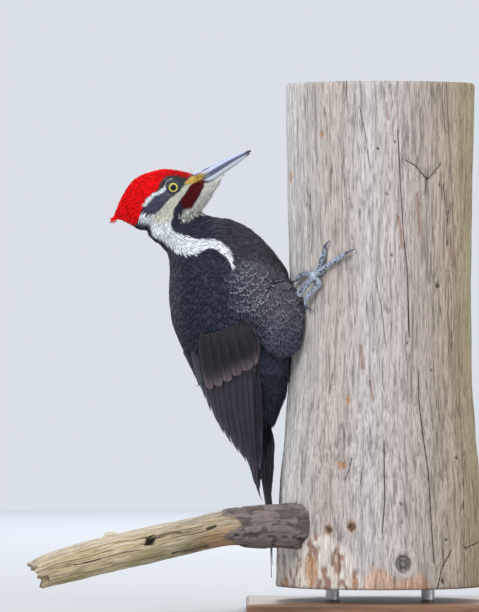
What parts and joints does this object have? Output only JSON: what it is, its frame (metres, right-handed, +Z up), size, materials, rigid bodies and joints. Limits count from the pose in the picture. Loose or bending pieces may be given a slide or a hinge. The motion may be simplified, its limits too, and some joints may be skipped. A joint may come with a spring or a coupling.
{
  "type": "pileated woodpecker model",
  "caption": "Still, life-size male pileated woodpecker clinging to a cut length of dead trunk with a branch stub, held by a plain display stand.",
  "frame": {"origin": "centre of the stand base's underside, below the log's axis", "axes": "+Z up; the bird clings to the log's -X side, its belly towards +X and its right side towards -Y"},
  "size_m": [0.4181, 0.2003, 0.464],
  "materials": {
    "black_plumage": "slate black feathers with pale fringes on the flanks",
    "white_plumage": "soft white and cream feathers, grey-black ear patch and maroon cheek stripe",
    "red_plumage": "bright red crown and crest feathers",
    "bill_horn": "blue-grey horn with a dark cutting edge and tip",
    "eye": "wet gloss, pale yellow iris and black pupil",
    "foot_scale": "blue-grey scaled skin",
    "claw_horn": "slate black horn",
    "dead_wood": "weathered barkless trunk, checked and stained, grey bark on the branch's root",
    "stand_wood": "dark satin varnish",
    "stand_steel": "satin round bar"
  },
  "bodies": {
    "root": {"bill_lower": "bill_horn", "bill_upper": "bill_horn", "claw_toe1_left": "claw_horn", "claw_toe1_right": "claw_horn", "claw_toe2_left": "claw_horn", "claw_toe2_right": "claw_horn", "claw_toe3_left": "claw_horn", "claw_toe3_right": "claw_horn", "claw_toe4_left": "claw_horn", "claw_toe4_right": "claw_horn", "crest": "red_plumage", "eye_left": "eye", "eye_right": "eye", "foot_left": "foot_scale", "foot_right": "foot_scale", "head": "white_plumage", "neck": "white_plumage", "perch_branch": "dead_wood", "perch_log": "dead_wood", "primaries_left": "black_plumage", "primaries_right": "black_plumage", "stand_base": "stand_wood", "stand_rod_1": "stand_steel", "stand_rod_2": "stand_steel", "tail": "black_plumage", "thigh_left": "black_plumage", "thigh_right": "black_plumage", "torso": "black_plumage", "wing_left": "black_plumage", "wing_right": "black_plumage"}
  },
  "joints": []
}
